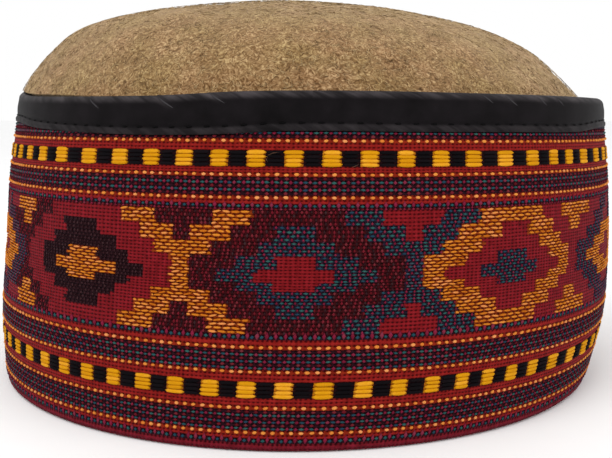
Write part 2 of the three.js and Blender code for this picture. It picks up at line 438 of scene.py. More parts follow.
def weighed(tree, first, first_share, second, second_share):
    """Sum of two numbers, each times its share."""
    return add_math(tree, "ADD", add_math(tree, "MULTIPLY", first, first_share),
                    add_math(tree, "MULTIPLY", second, second_share))


def add_noise(tree, place, scale, detail=3.0, roughness=0.55, distortion=0.0):
    node = add_node(tree, "ShaderNodeTexNoise", None, Vector=place, Scale=scale, Detail=detail,
                    Roughness=roughness, Distortion=distortion)
    return node.outputs[0]


def stretched(tree, place, x, y):
    return add_node(tree, "ShaderNodeMapping", None, Vector=place, Scale=(x, y, 1)).outputs[0]


def add_ramp(tree, factor, stops):
    """Colour ramp: stops are pairs of a place from 0 to 1 and a linear colour."""
    node = add_node(tree, "ShaderNodeValToRGB", None, Fac=factor)
    ramp = node.color_ramp
    for place, color in stops[1:-1]:
        ramp.elements.new(place)
    for element, (place, color) in zip(ramp.elements, stops):
        element.position = place
        element.color = (*color, 1)
    return node.outputs["Color"]


def add_blend(tree, mode, factor, first, second):
    node = add_node(tree, "ShaderNodeMix", {"data_type": "RGBA", "blend_type": mode},
                    i0=factor, i6=first, i7=second)
    return node.outputs[2]


def toned(tree, color, factor, stops, strength=1.0):
    """The colour times that of a ramp."""
    return add_blend(tree, "MULTIPLY", strength, color, add_ramp(tree, factor, stops))


def finish_shader(tree, shader, color, height=None, distance=0.0, strength=0.0):
    """Gives the shader its colour, and a bump where there is a height."""
    tree.links.new(color, shader.inputs["Base Color"])
    if height is not None:
        bump = add_node(tree, "ShaderNodeBump", None, Height=height, Distance=distance, Strength=strength)
        tree.links.new(bump.outputs[0], shader.inputs["Normal"])


WHITE = (1.0, 1.0, 1.0)
SHADED_SIDE_FROM = -92 * MM  # painted shade: the felt is darker and browner from here on towards its left edge
SHADED_SIDE_TO = -74 * MM


def make_felt():
    material, tree, shader = new_material("felt", 0.95, 0.05, sheen=0.5, sheen_color=(236, 214, 180))
    place = object_place(tree)
    curls = add_noise(tree, place, 560, detail=5, roughness=0.62, distortion=2.6)
    patches = add_noise(tree, place, 130, detail=3)
    hues = add_noise(tree, place, 85, detail=2)
    specks = add_noise(tree, place, 760, detail=2, roughness=0.6)
    side = add_node(tree, "ShaderNodeSeparateXYZ", None, Vector=place).outputs[0]
    painted_side_shade = add_node(tree, "ShaderNodeMapRange", None, Value=side,
                       From_Min=SHADED_SIDE_FROM, From_Max=SHADED_SIDE_TO).outputs[0]
    color = add_ramp(tree, curls, (
        (0.33, srgb(76, 48, 20)),
        (0.45, srgb(122, 92, 56)),
        (0.54, srgb(146, 116, 78)),
        (0.66, srgb(188, 160, 116)),
    ))
    color = toned(tree, color, patches, ((0.32, (0.86, 0.82, 0.76)), (0.68, (1.1, 1.1, 1.12))))
    color = toned(tree, color, hues, (
        (0.35, (1.0, 0.95, 1.0)),
        (0.5, (0.96, 0.96, 0.96)),
        (0.65, (0.93, 0.96, 0.88)),
    ))
    color = toned(tree, color, specks, ((0.32, (0.5, 0.38, 0.24)), (0.42, WHITE)), strength=0.8)
    # painted shade: darker and browner towards the felt's left edge
    color = toned(tree, color, painted_side_shade, ((0.0, (0.8, 0.7, 0.52)), (1.0, WHITE)))
    finish_shader(tree, shader, color, curls, 0.4 * MM, 0.8)
    return material


def make_fibre(name, dark, light):
    material, tree, shader = new_material(name, 0.9, 0.05)
    finish_shader(tree, shader, add_ramp(tree, read_attribute(tree, "shade"), ((0.0, dark), (1.0, light))))
    return material


def make_yarn(name, dark, middle, light):
    """Wool yarn: a tone for each float, with fine fibres all over."""
    material, tree, shader = new_material(name, 0.85, 0.06)
    fibres = add_noise(tree, object_place(tree), 3500, detail=2)
    mixed = weighed(tree, read_attribute(tree, "shade"), 0.7, fibres, 0.3)
    color = add_ramp(tree, mixed, ((0.15, dark), (0.5, middle), (0.85, light)))
    finish_shader(tree, shader, color, fibres, 0.08 * MM, 0.6)
    return material


HOLES_PER_DOT = 2
HOLE_WANDER = (0.16, 0.34, 0.0)  # how far the holes stray, in dots and rows


def make_cloth():
    """The plain weave under the pattern: dyed in the piece's own colours, with painted shade in a hole at each
    crossing and a painted highlight on the threads between.
    """
    material, tree, shader = new_material("woven_ground", 0.9, 0.05, sheen=0.05, sheen_color=(190, 150, 190))
    weave = weave_place(tree)
    wander = add_node(tree, "ShaderNodeTexNoise", None, Vector=weave, Scale=1.1, Detail=2.0).outputs["Color"]
    shifted = add_node(tree, "ShaderNodeVectorMath", {"operation": "MULTIPLY_ADD"}, i0=wander,
                       i1=HOLE_WANDER, i2=weave).outputs[0]
    split = add_node(tree, "ShaderNodeSeparateXYZ", None, Vector=shifted)
    swells = []
    for place, waves in zip(split.outputs, (HOLES_PER_DOT, 1)):
        wave = add_math(tree, "SINE", add_math(tree, "MULTIPLY", place, math.pi * waves))
        swells.append(add_math(tree, "POWER", add_math(tree, "ABSOLUTE", wave), 2.0))
    thread = weighed(tree, swells[0], 0.5, swells[1], 0.9)
    # painted shade and highlight: darker in the holes between the threads, lighter and bluer on their crowns
    color = toned(tree, read_attribute(tree, "cloth", "Color"), thread, (
        (0.1, (0.2, 0.06, 0.15)),
        (0.6, WHITE),
        (1.0, (1.15, 1.3, 1.4)),
    ))
    along = add_noise(tree, stretched(tree, weave, 1.1, 1.3), 1.0, detail=3)
    across = add_noise(tree, stretched(tree, weave, 2.4, 0.12), 1.0, detail=2)
    streaks = add_math(tree, "MULTIPLY", add_math(tree, "ADD", along, across), 0.5)
    color = toned(tree, color, streaks, (
        (0.36, (0.66, 0.55, 0.6)),
        (0.5, WHITE),
        (0.64, (1.25, 1.35, 1.55)),
    ))
    finish_shader(tree, shader, color, thread, 0.25 * MM, 0.8)
    return material


def make_satin():
    """Black satin, paler where a point attribute paints a highlight on it, in folds that lie with the creases.
    """
    material, tree, shader = new_material("satin_tape", 0.5, 0.025)
    weave = weave_place(tree)
    rows = add_node(tree, "ShaderNodeTexWave", {"wave_type": "BANDS", "bands_direction": "DIAGONAL"},
                    Vector=weave, Scale=1.6, Distortion=1.2, Detail=2.0, Detail_Scale=1.5).outputs["Fac"]
    cloudy = add_noise(tree, object_place(tree), 140, detail=4)
    sheared = add_node(tree, "ShaderNodeMapping", None, Vector=weave,
                       Rotation=(0, 0, math.atan(1 / CREASE_SLOPE))).outputs[0]
    folds = add_noise(tree, stretched(tree, sheared, 0.05, 0.5), 1.0, detail=3)
    fold_sheen = add_ramp(tree, folds, ((0.4, (0.45, 0.45, 0.45)), (0.6, (1.6, 1.6, 1.6))))
    # painted sheen: the painted highlight from the tape's relief, broken into folds along the creases
    painted_sheen = add_math(tree, "MULTIPLY", read_attribute(tree, "painted_sheen"), fold_sheen)
    dyed = add_ramp(tree, cloudy, ((0.3, srgb(14, 12, 13)), (0.7, srgb(23, 20, 22))))
    # painted highlight colour of the satin
    highlight_color = add_ramp(tree, cloudy, ((0.3, srgb(60, 56, 58)), (0.7, srgb(84, 78, 80))))
    height = weighed(tree, rows, 1.0, cloudy, 0.8)
    finish_shader(tree, shader, add_blend(tree, "MIX", painted_sheen, dyed, highlight_color), height, 0.04 * MM, 0.4)
    return material


def make_cloudy(name, roughness, specular, scale, detail, dark, light):
    """A plain material whose tone changes a little from place to place."""
    material, tree, shader = new_material(name, roughness, specular)
    clouds = add_noise(tree, object_place(tree), scale, detail=detail)
    finish_shader(tree, shader, add_ramp(tree, clouds, ((0.3, dark), (0.7, light))))
    return material


# Crown

CROWN_COLUMNS = 360
CROWN_SKIRT_ROWS = 12
CROWN_DOME_ROWS = 84
PASSAGE_TURNS = 7
EDGE_CROWDING = 1.5  # how much closer the dome's rows lie near its edge
INNER_SKIRT_STEP = 2  # rows of the outside for each row inside
INNER_DOME_STEP = 4
RELIEF_START_ROWS = 6  # rows of the dome over which the lumps grow, and that the inside leaves out
TAPE_THICKNESS = TAPE_PROUD + BAND_WALL + GAP + TAPE_WALL
FOLD_RADIUS = TAPE_THICKNESS / 2
PASSAGE_RADIUS = FOLD_RADIUS + CROWN_EASE
SKIRT_FOOT = LIP_THICKNESS + GAP


def skirt_point(angle, share):
    top = rim_top(angle) - TAPE_INNER_HEIGHT - SKIRT_EASE
    z = SKIRT_FOOT + (top - SKIRT_FOOT) * share
    low = band_point(angle, z, BAND_WALL + CROWN_EASE)
    high = held_inside(at_height(dome_point(angle, 0 * angle), z), TAPE_THICKNESS - TAPE_PROUD + CROWN_EASE)
    blend = smoothstep(share, 0.4, 1)[..., None]
    return low * (1 - blend) + high * blend


def passage_point(angle, turn):
    z = rim_top(angle) - FOLD_RADIUS + PASSAGE_RADIUS * np.sin(turn)
    point = at_height(dome_point(angle, dome_inward_at(z)), z)
    return held_inside(point, FOLD_RADIUS - TAPE_PROUD + PASSAGE_RADIUS * np.cos(turn))


def dome_at(angle, share):
    """Point of the dome's outside, from its edge above the tape, share 0, to its top, share 1."""
    start = dome_inward_at(rim_top(angle) + CROWN_EASE)
    return dome_point(angle, start + (1 - start) * share ** EDGE_CROWDING)


# The felt's lumps: how far apart they are and how far they stand out
FELT_LUMPS = ((26 * MM, 0.45 * MM), (7 * MM, 0.16 * MM), (2.6 * MM, 0.09 * MM))
SKIRT_LUMPS = 0.2  # share of their height that they have on the skirt
INNER_LUMPS = 0.4


def felt_relief(places):
    """How far the felt's own lumps stand out, in metres."""
    relief = np.zeros(len(places))
    for spacing, height in FELT_LUMPS:
        relief += height * np.array([noise.noise(Vector(place / spacing)) for place in places])
    return relief


def close_tops(piece, top_rows):
    """Brings each of the rows that end at the crown's top together at one point."""
    places = vertex_places(piece).reshape(CROWN_COLUMNS, -1, 3)
    for row in top_rows:
        places[:, row] = places[:, row].mean(axis=0)
    piece.data.vertices.foreach_set("co", places.ravel())
    piece.data.update()


def crown_outside():
    """The crown's outer side as columns of points: up its skirt, past the tape and over the dome."""
    angle = (2 * np.pi * np.arange(CROWN_COLUMNS) / CROWN_COLUMNS)[:, None]
    skirt = skirt_point(angle, np.linspace(0, 1, CROWN_SKIRT_ROWS)[None, :])
    passage = passage_point(angle, np.linspace(0, np.pi / 2, PASSAGE_TURNS)[None, :])
    dome = dome_at(angle, (np.arange(1, CROWN_DOME_ROWS + 1) / CROWN_DOME_ROWS)[None, :])
    return np.concatenate([skirt, passage, dome], axis=1)


def outward(outside):
    """Directions that point straight out of the crown's outer side."""
    around = np.roll(outside, -1, axis=0) - np.roll(outside, 1, axis=0)
    above = np.concatenate([outside[:, 1:], outside[:, -1:]], axis=1)
    below = np.concatenate([outside[:, :1], outside[:, :-1]], axis=1)
    up = above - below
    up[:, 0] = (0, 0, 1)
    out = np.cross(around, up)
    out /= np.maximum(np.linalg.norm(out, axis=-1, keepdims=True), 1e-12)
    out[:, -1] = (0, 0, 1)
    return out


def make_crown(felt):
    """The felt shell: its outer skin, and an inner one with fewer rows, each closed at the top."""
    outside = crown_outside()
    rows = outside.shape[1]
    dome_start = CROWN_SKIRT_ROWS + PASSAGE_TURNS
    lumps_full = dome_start + RELIEF_START_ROWS
    kept = [*range(0, CROWN_SKIRT_ROWS, INNER_SKIRT_STEP), *range(lumps_full, rows, INNER_DOME_STEP)]
    if kept[-1] != rows - 1:
        kept.append(rows - 1)
    inside = (outside - outward(outside) * CROWN_WALL)[:, kept[::-1]]
    points = np.concatenate([outside, inside], axis=1)
    faces = ring_faces(CROWN_COLUMNS, points.shape[1])
    between_tops = np.arange(len(faces)) % points.shape[1] == rows - 1
    piece = add_mesh("crown_felt", points, faces[~between_tops])
    relief = felt_relief(vertex_places(piece)).reshape(CROWN_COLUMNS, -1)
    relief[:, :dome_start] *= SKIRT_LUMPS
    relief[:, dome_start:lumps_full] *= np.linspace(0.3, 1, RELIEF_START_ROWS)
    relief[:, rows:] *= INNER_LUMPS
    push_out(piece, relief.ravel())
    close_tops(piece, [rows - 1, rows])
    weld(piece)
    finish_piece(piece, felt, "wool_felt", "crown")


# Fine fibres and yarns are spindles: rings of points between two tips

def ring_turns(sides, swell):
    """Angles of the points of a spindle's ring, or a single one at a tip, where there is no swell."""
    return [2 * math.pi * k / sides for k in range(sides if swell else 1)]


def spindle_faces(count, rings, sides):
    """Faces of many spindles, each with a tip, its rings and a second tip."""
    size = rings * sides + 2
    k = np.arange(sides)
    k_next = (k + 1) % sides
    faces = [np.stack([np.zeros(sides, int), 1 + k_next, 1 + k], axis=-1)]
    for ring in range(rings - 1):
        a = 1 + ring * sides + k
        b = 1 + ring * sides + k_next
        faces.append(np.stack([a, b, b + sides], axis=-1))
        faces.append(np.stack([a, b + sides, a + sides], axis=-1))
    tail = 1 + (rings - 1) * sides
    faces.append(np.stack([tail + k, tail + k_next, np.full(sides, size - 1)], axis=-1))
    one = np.concatenate(faces)
    return (one[None] + (np.arange(count) * size)[:, None, None]).reshape(-1, 3)


def add_spindles(name, points, rings, sides):
    """Spindles of one shape, from an array for each of their points in turn."""
    columns = [point[:, None] for point in points]
    return add_mesh(name, np.concatenate(columns, axis=1), spindle_faces(len(points[0]), rings, sides))


FIBRES = 12000
FIBRE_RADIUS = 0.055 * MM
FIBRE_LENGTHS = (1 * MM, 3.6 * MM)
FIBRE_STATIONS = (0, 0.3, 0.7, 1)  # where along a fibre its tips and rings are
FIBRE_SIDES = 3
FIBRE_CURL = 1.6  # radians that most fibres turn, from one end to the other
FIBRE_BASE = 0.12 * MM  # how far all fibres lie over the felt
FIBRE_LIFT = 0.14 * MM
LOOSE_SHARE = 0.04  # fibres that stand off and soften the outline
LOOSE_LIFT = 0.4 * MM
FIBRE_REACH = (0.002, 0.985)  # shares of the dome between which fibres lie
SLOPE_STEP = 0.004  # share of the dome over which its slope is measured
SLOPE_TURN = 0.01  # radians, the same round it
PROFILE_STEPS = 400


def make_felt_fibres(material):
    """Loose wool fibres that lie on the dome in all directions."""
    random = np.random.default_rng(SEED)
    shares = np.linspace(0, 1, PROFILE_STEPS)
    profile = dome_at(np.zeros(PROFILE_STEPS), shares)
    steps = np.linalg.norm(np.diff(profile, axis=0), axis=1)
    radii = np.hypot(profile[:, 0] - profile[-1, 0], profile[:, 1])
    area = np.concatenate([[0], np.cumsum(steps * (radii[1:] + radii[:-1]))])
    share = np.interp(random.random(FIBRES) * area[-1], area, shares)
    angle = random.random(FIBRES) * 2 * np.pi
    step = np.interp(share, shares[1:], steps) * (PROFILE_STEPS - 1)
    radius = np.interp(share, shares, radii) + 1 * MM
    length = random.uniform(*FIBRE_LENGTHS, FIBRES)
    heading = random.random(FIBRES) * 2 * np.pi
    curl = random.normal(0, FIBRE_CURL, FIBRES)
    loose = random.random(FIBRES) < LOOSE_SHARE
    lift = np.where(loose, LOOSE_LIFT * random.random(FIBRES), FIBRE_LIFT * random.random(FIBRES))
    lowest, highest = FIBRE_REACH
    places = []
    for s in FIBRE_STATIONS:
        turn = heading + curl * s
        sideways = length * (s - 0.5) * np.cos(turn)
        upwards = length * (s - 0.5) * np.sin(turn)
        places.append(dome_at(angle + sideways / radius, np.clip(share + upwards / step, lowest, highest)))
    centre = dome_at(angle, np.clip(share, lowest, highest))
    around = dome_at(angle + SLOPE_TURN, np.clip(share, lowest, highest)) - centre
    up = dome_at(angle, np.clip(share + SLOPE_STEP, lowest, highest + SLOPE_STEP)) - centre
    out = np.cross(around, up)
    out /= np.linalg.norm(out, axis=1, keepdims=True)
    lifts = [np.where(loose, s, math.sin(math.pi * s)) * lift + FIBRE_BASE for s in FIBRE_STATIONS]
    places = [place + out * height[:, None] for place, height in zip(places, lifts)]
    along = places[2] - places[1]
    along /= np.linalg.norm(along, axis=1, keepdims=True)
    across = np.cross(out, along)
    points = [places[0]]
    for place in places[1:3]:
        for turn in ring_turns(FIBRE_SIDES, 1):
            points.append(place + FIBRE_RADIUS * (math.cos(turn) * across + math.sin(turn) * out))
    points.append(places[3])
    piece = add_spindles("crown_fibres", points, 2, FIBRE_SIDES)
    set_values(piece, "shade", np.repeat(random.random(FIBRES), len(points)))
    finish_piece(piece, material, "wool_felt")


# Weave: dots round the cap and rows up it

# Where the cloth goes in under the tape
TUCK_DEPTH = TAPE_WALL + GAP - TAPE_PROUD
TUCK_HALF = 0.5 * MM  # half of the height over which it does so
PULL_ROUNDS = 12  # the pull depends on the angle that it leads to, so it is worked out again this often


def dot_angle(dot, height):
    """Angle of a dot of the weave at a height at the front, with the pull of the sewing."""
    plain = dot * DOT_ANGLE + WEAVE_START
    share = smoothstep(height, PULL_LOW_FULL, PULL_LOW_TOP)
    turned = plain
    for _ in range(PULL_ROUNDS):
        high = np.interp(turned, PULL_HIGH["angle"], PULL_HIGH["shift"])
        low = np.interp(turned, PULL_LOW["angle"], PULL_LOW["shift"])
        turned = plain + high * share + low * (1 - share)
    return np.radians(turned)


def weave_point(dot, height, out=0.0):
    """Point of the band at a dot and a height at the front, measured outwards from its outside."""
    angle = dot_angle(dot, height)
    share = height / RIM_HEIGHT
    z = share * weave_height(angle)
    tuck = TUCK_DEPTH * smoothstep(z - tape_floor(angle), -TUCK_HALF, TUCK_HALF)
    return on_plan(band_plan(share), angle, z, tuck - out)


def read_chart(text):
    """Spans of one step of the figures: where each one starts and ends, and its yarn."""
    spans = []
    start = CHART_START
    for word in text.split():
        end = float(word[1:])
        spans.append((start, end, word[0]))
        start = end
    return spans


RAGGED = 0.2  # dots by which the rows of a figure's edge differ
LEAST_SPAN = 0.05


def spans_round(number, text):
    """One row's spans repeated all round, with ragged ends, cut off at the seam at the back."""
    random = np.random.default_rng(CHART_SEED + number)
    half = DOTS_ROUND / 2
    low = -half
    for repeat in range(-2, 3):
        for start, end, yarn in read_chart(text):
            high = min(end + repeat * CHART_REPEAT + random.uniform(-RAGGED, RAGGED), half)
            if high - low > LEAST_SPAN:
                yield low, high, yarn
                low = high


def split_rows(kind, top, bottom, count, first, text):
    """Rows of one height: kind, top, bottom, number in the stripe, and chart text."""
    edges = np.linspace(top, bottom, count + 1)
    return [(kind, high, low, first + k, text) for k, (high, low) in enumerate(zip(edges[:-1], edges[1:]))]


def weave_rows():
    """All rows of the weave from the top down."""
    rows = []
    tops = [top * MM for _, top in STRIPES]
    for (kind, _), top, bottom in zip(STRIPES, tops, tops[1:] + [0.0]):
        if kind == "figures":
            bottoms = [step[0] for step in FIGURE_STEPS[1:]] + [bottom]
            first = 0
            for (step_top, picks, chart), step_bottom in zip(FIGURE_STEPS, bottoms):
                rows += split_rows(kind, step_top, step_bottom, picks, first, chart)
                first += picks
        else:
            picks = CHECK_ROWS if kind == "checks" else max(1, round((top - bottom) / ROW_PITCH))
            rows += split_rows(kind, top, bottom, picks, 0, "")
    return rows


ROWS = weave_rows()


# Ground cloth of the band

GROUND_COLUMNS = DOTS_ROUND * 2
GROUND_INSET = 0.15 * MM
HEM_SHARES = (0, 0.13, 0.5)  # heights of the rows round the hem's corner, as shares of its radius


# Grounds of the plain stripes
STRIPE_GROUNDS = {
    "line": "line",
    "plain": "stripe",
    "hem": "hem",
    "edge": "maroon",
    "points": "net",
    "net": "net",
}
CHECK_GROUND_HALF = 0.8  # half of the yellow ground under a check, in dots


def ground_color(kind, number, text, dot):
    if kind in STRIPE_GROUNDS:
        return GROUND_COLORS[STRIPE_GROUNDS[kind]]
    if kind == "checks":
        from_centre = abs((dot + CHECK_PITCH / 2) % CHECK_PITCH - CHECK_PITCH / 2)
        return GROUND_COLORS["check" if from_centre < CHECK_GROUND_HALF else "black"]
    for start, end, yarn in spans_round(number, text):
        if start <= dot < end:
            return GROUND_COLORS[CHART_GROUNDS[yarn]]
    return GROUND_COLORS["crimson"]


def band_insides(angle):
    """The band's top edge inside the tape, its inner wall and its lip, down and round to the hem."""
    lip_reach = BAND_WALL + CROWN_EASE + CROWN_WALL
    lip_radius = LIP_THICKNESS / 2
    edge_top = rim_top(angle) - FOLD_RADIUS
    points = [band_point(angle, edge_top, TUCK_DEPTH)]
    for share in np.linspace(0, 1, 9):
        points.append(band_point(angle, edge_top + (LIP_THICKNESS - edge_top) * share, BAND_WALL))
    points.append(band_point(angle, LIP_THICKNESS + 0 * angle, lip_reach - lip_radius))
    for turn in np.radians((45, 90, 135)):
        z = lip_radius * (1 + np.cos(turn)) + 0 * angle
        points.append(band_point(angle, z, lip_reach + lip_radius * (np.sin(turn) - 1)))
    points.append(band_point(angle, 0 * angle, lip_reach - lip_radius))
    return points


def make_ground(cloth):
    """The band's cloth: its outside row by row, its hem and its inner side."""
    dots = (np.arange(GROUND_COLUMNS) - GROUND_COLUMNS / 2) / 2
    tops = [row[1] for row in ROWS]
    heights = [HEM_RADIUS * share for share in HEM_SHARES] + [h for h in tops[::-1] if h > HEM_RADIUS * 0.9]
    outside = []
    for height in heights:
        z = np.full(len(dots), height)
        turn = np.arcsin(np.clip(1 - height / HEM_RADIUS, 0, 1))
        out = -HEM_RADIUS * (1 - np.cos(turn)) - GROUND_INSET * (height > HEM_RADIUS)
        outside.append(weave_point(dots, z, out))
    shoulder_angle = dot_angle(dots, np.full(len(dots), heights[-1]))
    insides = band_insides(shoulder_angle)
    loop = np.stack(outside + insides, axis=1)
    piece = add_mesh("band_cloth", loop, ring_faces(GROUND_COLUMNS, loop.shape[1]))
    paint_ground(piece, dots, heights, loop)
    finish_piece(piece, cloth, "woven_cloth", "band")


def paint_ground(piece, dots, heights, loop):
    """Colour of each cell of the cloth, and its place in the weave for the material."""
    rows_each = loop.shape[1]
    middles = (np.array(heights[1:]) + np.array(heights[:-1])) / 2
    cells = np.empty((GROUND_COLUMNS, rows_each, 3))
    cells[:] = GROUND_COLORS["crimson"]
    for j, middle in enumerate(middles):
        for kind, top, bottom, number, text in ROWS:
            if bottom <= middle < top:
                for i, dot in enumerate(dots):
                    cells[i, j] = ground_color(kind, number, text, dot + 0.25)
    colors = np.ones((GROUND_COLUMNS, rows_each, 4, 4), np.float32)
    colors[..., :3] = cells[:, :, None, :]
    attribute = piece.data.color_attributes.new("cloth", "FLOAT_COLOR", "CORNER")
    attribute.data.foreach_set("color", colors.ravel())
    run = run_along(loop, 1 * MM)
    last = len(heights) - 1
    along = np.concatenate([np.arange(last + 1), last + (run[last + 1:] - run[last]) / ROW_PITCH])
    set_weave_places(piece, np.arange(GROUND_COLUMNS + 1) / 2 - DOTS_ROUND / 2, along)


# Floats: the yarns that lie on top of the cloth

# Rings of a float between its tips: places along it, and how thick it is there
SHORT = ((0, 1.0),)
LENS = ((-0.5, 0.78), (0, 1.0), (0.5, 0.78))
FULL = ((-0.62, 0.84), (0, 1.0), (0.62, 0.84))
FLOAT_SIDES = 6
TIP_SINK = 0.3  # how deep a float's tips go in, as a share of its rise
BURIED = 0.5  # how far its under side goes in, as a share of its rise
FLOAT_SINK = 0.02 * MM
DOT_SCATTER = 0.03  # dots
HEIGHT_SCATTER = 0.035 * MM
LEANING = 0.04 * MM
LEANINGS = {"yellow_figures": 0.12 * MM}


def make_floats(name, floats, material, random, rings, upright):
    """Floats that lie along the rows, or upright. Each has a dot, a height, two half sizes and a rise."""
    count = len(floats)
    dot, height, half_dots, half_height, rise = np.array(floats).T
    dot = dot + random.normal(0, DOT_SCATTER, count)
    height = height + random.normal(0, HEIGHT_SCATTER, count)
    half_dots = half_dots * random.uniform(0.88, 1.1, count)
    half_height = half_height * random.uniform(0.88, 1.1, count)
    rise = rise * random.uniform(0.8, 1.15, count)
    lean = random.normal(0, LEANINGS.get(name, LEANING), count)
    points = []
    along = []
    for s, swell in ((-1, 0), *rings, (1, 0)):
        for turn in ring_turns(FLOAT_SIDES, swell):
            across = swell * math.cos(turn)
            out = math.sin(turn)
            if upright:
                at_dot = dot - across * half_dots
                at_height = height + s * half_height
            else:
                at_dot = dot + s * half_dots
                at_height = height + across * half_height + s * lean
            lift = rise * swell * (out if out > 0 else BURIED * out) if swell else rise * -TIP_SINK
            points.append(weave_point(at_dot, at_height, lift - FLOAT_SINK))
            along.append(abs(s))
    piece = add_spindles(name, points, len(rings), FLOAT_SIDES)
    set_values(piece, "shade", 0.75 * random.random(count)[:, None] + 0.25 * np.array(along)[None, :])
    finish_piece(piece, material, "woven_cloth")


# Floats of the stripes: piece, dots past the whole dot, rows above the row's middle, half width in dots, half
# height in rows, and rise
STRIPE_FLOATS = {
    "line": (("yellow_lines", 0, 0, 0.29, 0.38, 0.42 * MM),),
    "points": (("net_teal", 0, 0, 0.26, 0.4, 0.28 * MM), ("net_magenta", 0.5, 0.25, 0.24, 0.85, 0.26 * MM)),
    "edge": (("net_crimson", 0, 0, 0.22, 0.7, 0.24 * MM), ("net_magenta", 0.5, 0, 0.2, 0.7, 0.24 * MM)),
    "even_net": (("net_crimson", 0, 0, 0.27, 0.58, 0.26 * MM),),
    "odd_net": (("net_teal", 0, 0, 0.36, 0.42, 0.3 * MM), ("net_magenta", 0.5, 0, 0.24, 0.6, 0.26 * MM)),
}

# Floats of the checks and figures: half width in dots, half height in rows, and rise
FLOAT_SIZES = {
    "yellow_checks": (1.12, 0.62, 0.42 * MM),
    "black_checks": (1.0, 0.5, 0.28 * MM),
    "yellow_figures": (0.52, 0.34, 0.38 * MM),
    "crimson_specks": (0.17, 0.6, 0.24 * MM),
    "black_figures": (0.15, 0.55, 0.2 * MM),
    "magenta_specks": (0.16, 0.52, 0.24 * MM),
    "teal_figures": (0.34, 0.36, 0.26 * MM),
    "slate_figures": (0.34, 0.36, 0.26 * MM),
    "dim_specks": (0.14, 0.4, 0.2 * MM),
}
LEAST_YELLOW = 0.3  # dots of a yellow float that are left where a figure's edge cuts it short
STAGGER = 0.5  # dots by which the floats of every other row are set over


def weave_figures(row, floats):
    """Floats of one row of the stepped figures."""
    _, top, bottom, number, text = row
    height = (top + bottom) / 2
    pick = top - bottom
    stagger = STAGGER * (number % 2)

    def lay(piece, dot, at_height=height, half_dots=None):
        width, share, rise = FLOAT_SIZES[piece]
        floats[piece].append((dot, at_height, width if half_dots is None else half_dots, share * pick, rise))

    for low, high, yarn in spans_round(number, text):
        if yarn == "y":
            half = FLOAT_SIZES["yellow_figures"][0]
            for centre in np.arange(math.floor(low) - 1, math.ceil(high) + 2) + stagger:
                start = max(centre - half, low)
                end = min(centre + half, high)
                if end - start > LEAST_YELLOW:
                    lay("yellow_figures", (start + end) / 2, half_dots=(end - start) / 2)
        elif yarn in "mk":
            count = max(1, round((high - low) * 2))
            pitch = (high - low) / count
            for k in range(count):
                has_speck = yarn == "m" and (k + number) % 3
                lay("crimson_specks" if has_speck else "black_figures", low + (k + 0.25 + stagger) * pitch)
        elif yarn in "ts":
            count = max(1, round(high - low))
            pitch = (high - low) / count
            for k in range(count):
                weft = low + (k + 0.75 - stagger) * pitch
                lay("magenta_specks", low + (k + 0.25 + stagger) * pitch)
                lay("teal_figures" if yarn == "t" else "slate_figures", weft)
                lay("dim_specks", weft, height + 0.5 * pick)


def weave_floats():
    """Floats of all rows, by piece."""
    floats = {piece: [] for piece in FLOAT_PIECES}
    dots = np.arange(-DOTS_ROUND / 2, DOTS_ROUND / 2)
    for row in ROWS:
        kind, top, bottom, number, _ = row
        height = (top + bottom) / 2
        pick = top - bottom
        if kind == "figures":
            weave_figures(row, floats)
        if kind == "net":
            kind = "odd_net" if number % 2 else "even_net"
        for piece, aside, above, half_dots, share, rise in STRIPE_FLOATS.get(kind, ()):
            for dot in dots + DOT_PHASE + aside:
                floats[piece].append((dot, height + above * pick, half_dots, share * pick, rise))
        if kind == "checks":
            for piece, aside in (("yellow_checks", 0), ("black_checks", CHECK_PITCH / 2)):
                half_dots, share, rise = FLOAT_SIZES[piece]
                for dot in dots[dots % CHECK_PITCH == 0] + aside:
                    floats[piece].append((dot, height, half_dots, share * pick, rise))
    return floats


# Tones of each yarn, from its dark floats to its light ones
YARN_TONES = {
    "yellow": ((168, 86, 12), (200, 122, 34), (216, 138, 86)),
    "pale_yellow": ((196, 108, 38), (212, 134, 58), (218, 142, 92)),
    "gold": ((186, 124, 6), (200, 138, 10), (220, 154, 42)),
    "black": ((8, 5, 8), (12, 8, 11), (18, 10, 14)),
    "dull": ((34, 14, 18), (48, 24, 28), (62, 42, 44)),
    "crimson": ((78, 12, 18), (104, 22, 34), (104, 46, 50)),
    "dim": ((28, 24, 34), (52, 22, 38), (66, 46, 56)),
    "magenta": ((96, 18, 38), (120, 26, 52), (112, 48, 62)),
    "teal": ((28, 52, 74), (34, 76, 78), (52, 94, 86)),
    "slate": ((28, 54, 78), (48, 70, 80), (72, 84, 86)),
}


# The weave's pieces: yarn, rings along each float, and whether it stands upright
FLOAT_PIECES = {
    "yellow_figures": ("yellow", LENS, False),
    "yellow_lines": ("pale_yellow", LENS, False),
    "yellow_checks": ("gold", FULL, False),
    "black_checks": ("black", FULL, False),
    "black_figures": ("dull", SHORT, True),
    "crimson_specks": ("crimson", SHORT, True),
    "magenta_specks": ("magenta", SHORT, True),
    "teal_figures": ("teal", SHORT, False),
    "slate_figures": ("slate", SHORT, False),
    "dim_specks": ("dim", SHORT, True),
    "net_crimson": ("crimson", SHORT, True),
    "net_magenta": ("magenta", SHORT, True),
    "net_teal": ("teal", SHORT, False),
}


def make_weave():
    random = np.random.default_rng(WEAVE_SEED)
    dyes = {}
    for name, tones in YARN_TONES.items():
        dyes[name] = make_yarn(name + "_yarn", *(srgb(*tone) for tone in tones))
    floats = weave_floats()
    for name, (yarn, rings, upright) in FLOAT_PIECES.items():
        make_floats(name, floats[name], dyes[yarn], random, rings, upright)


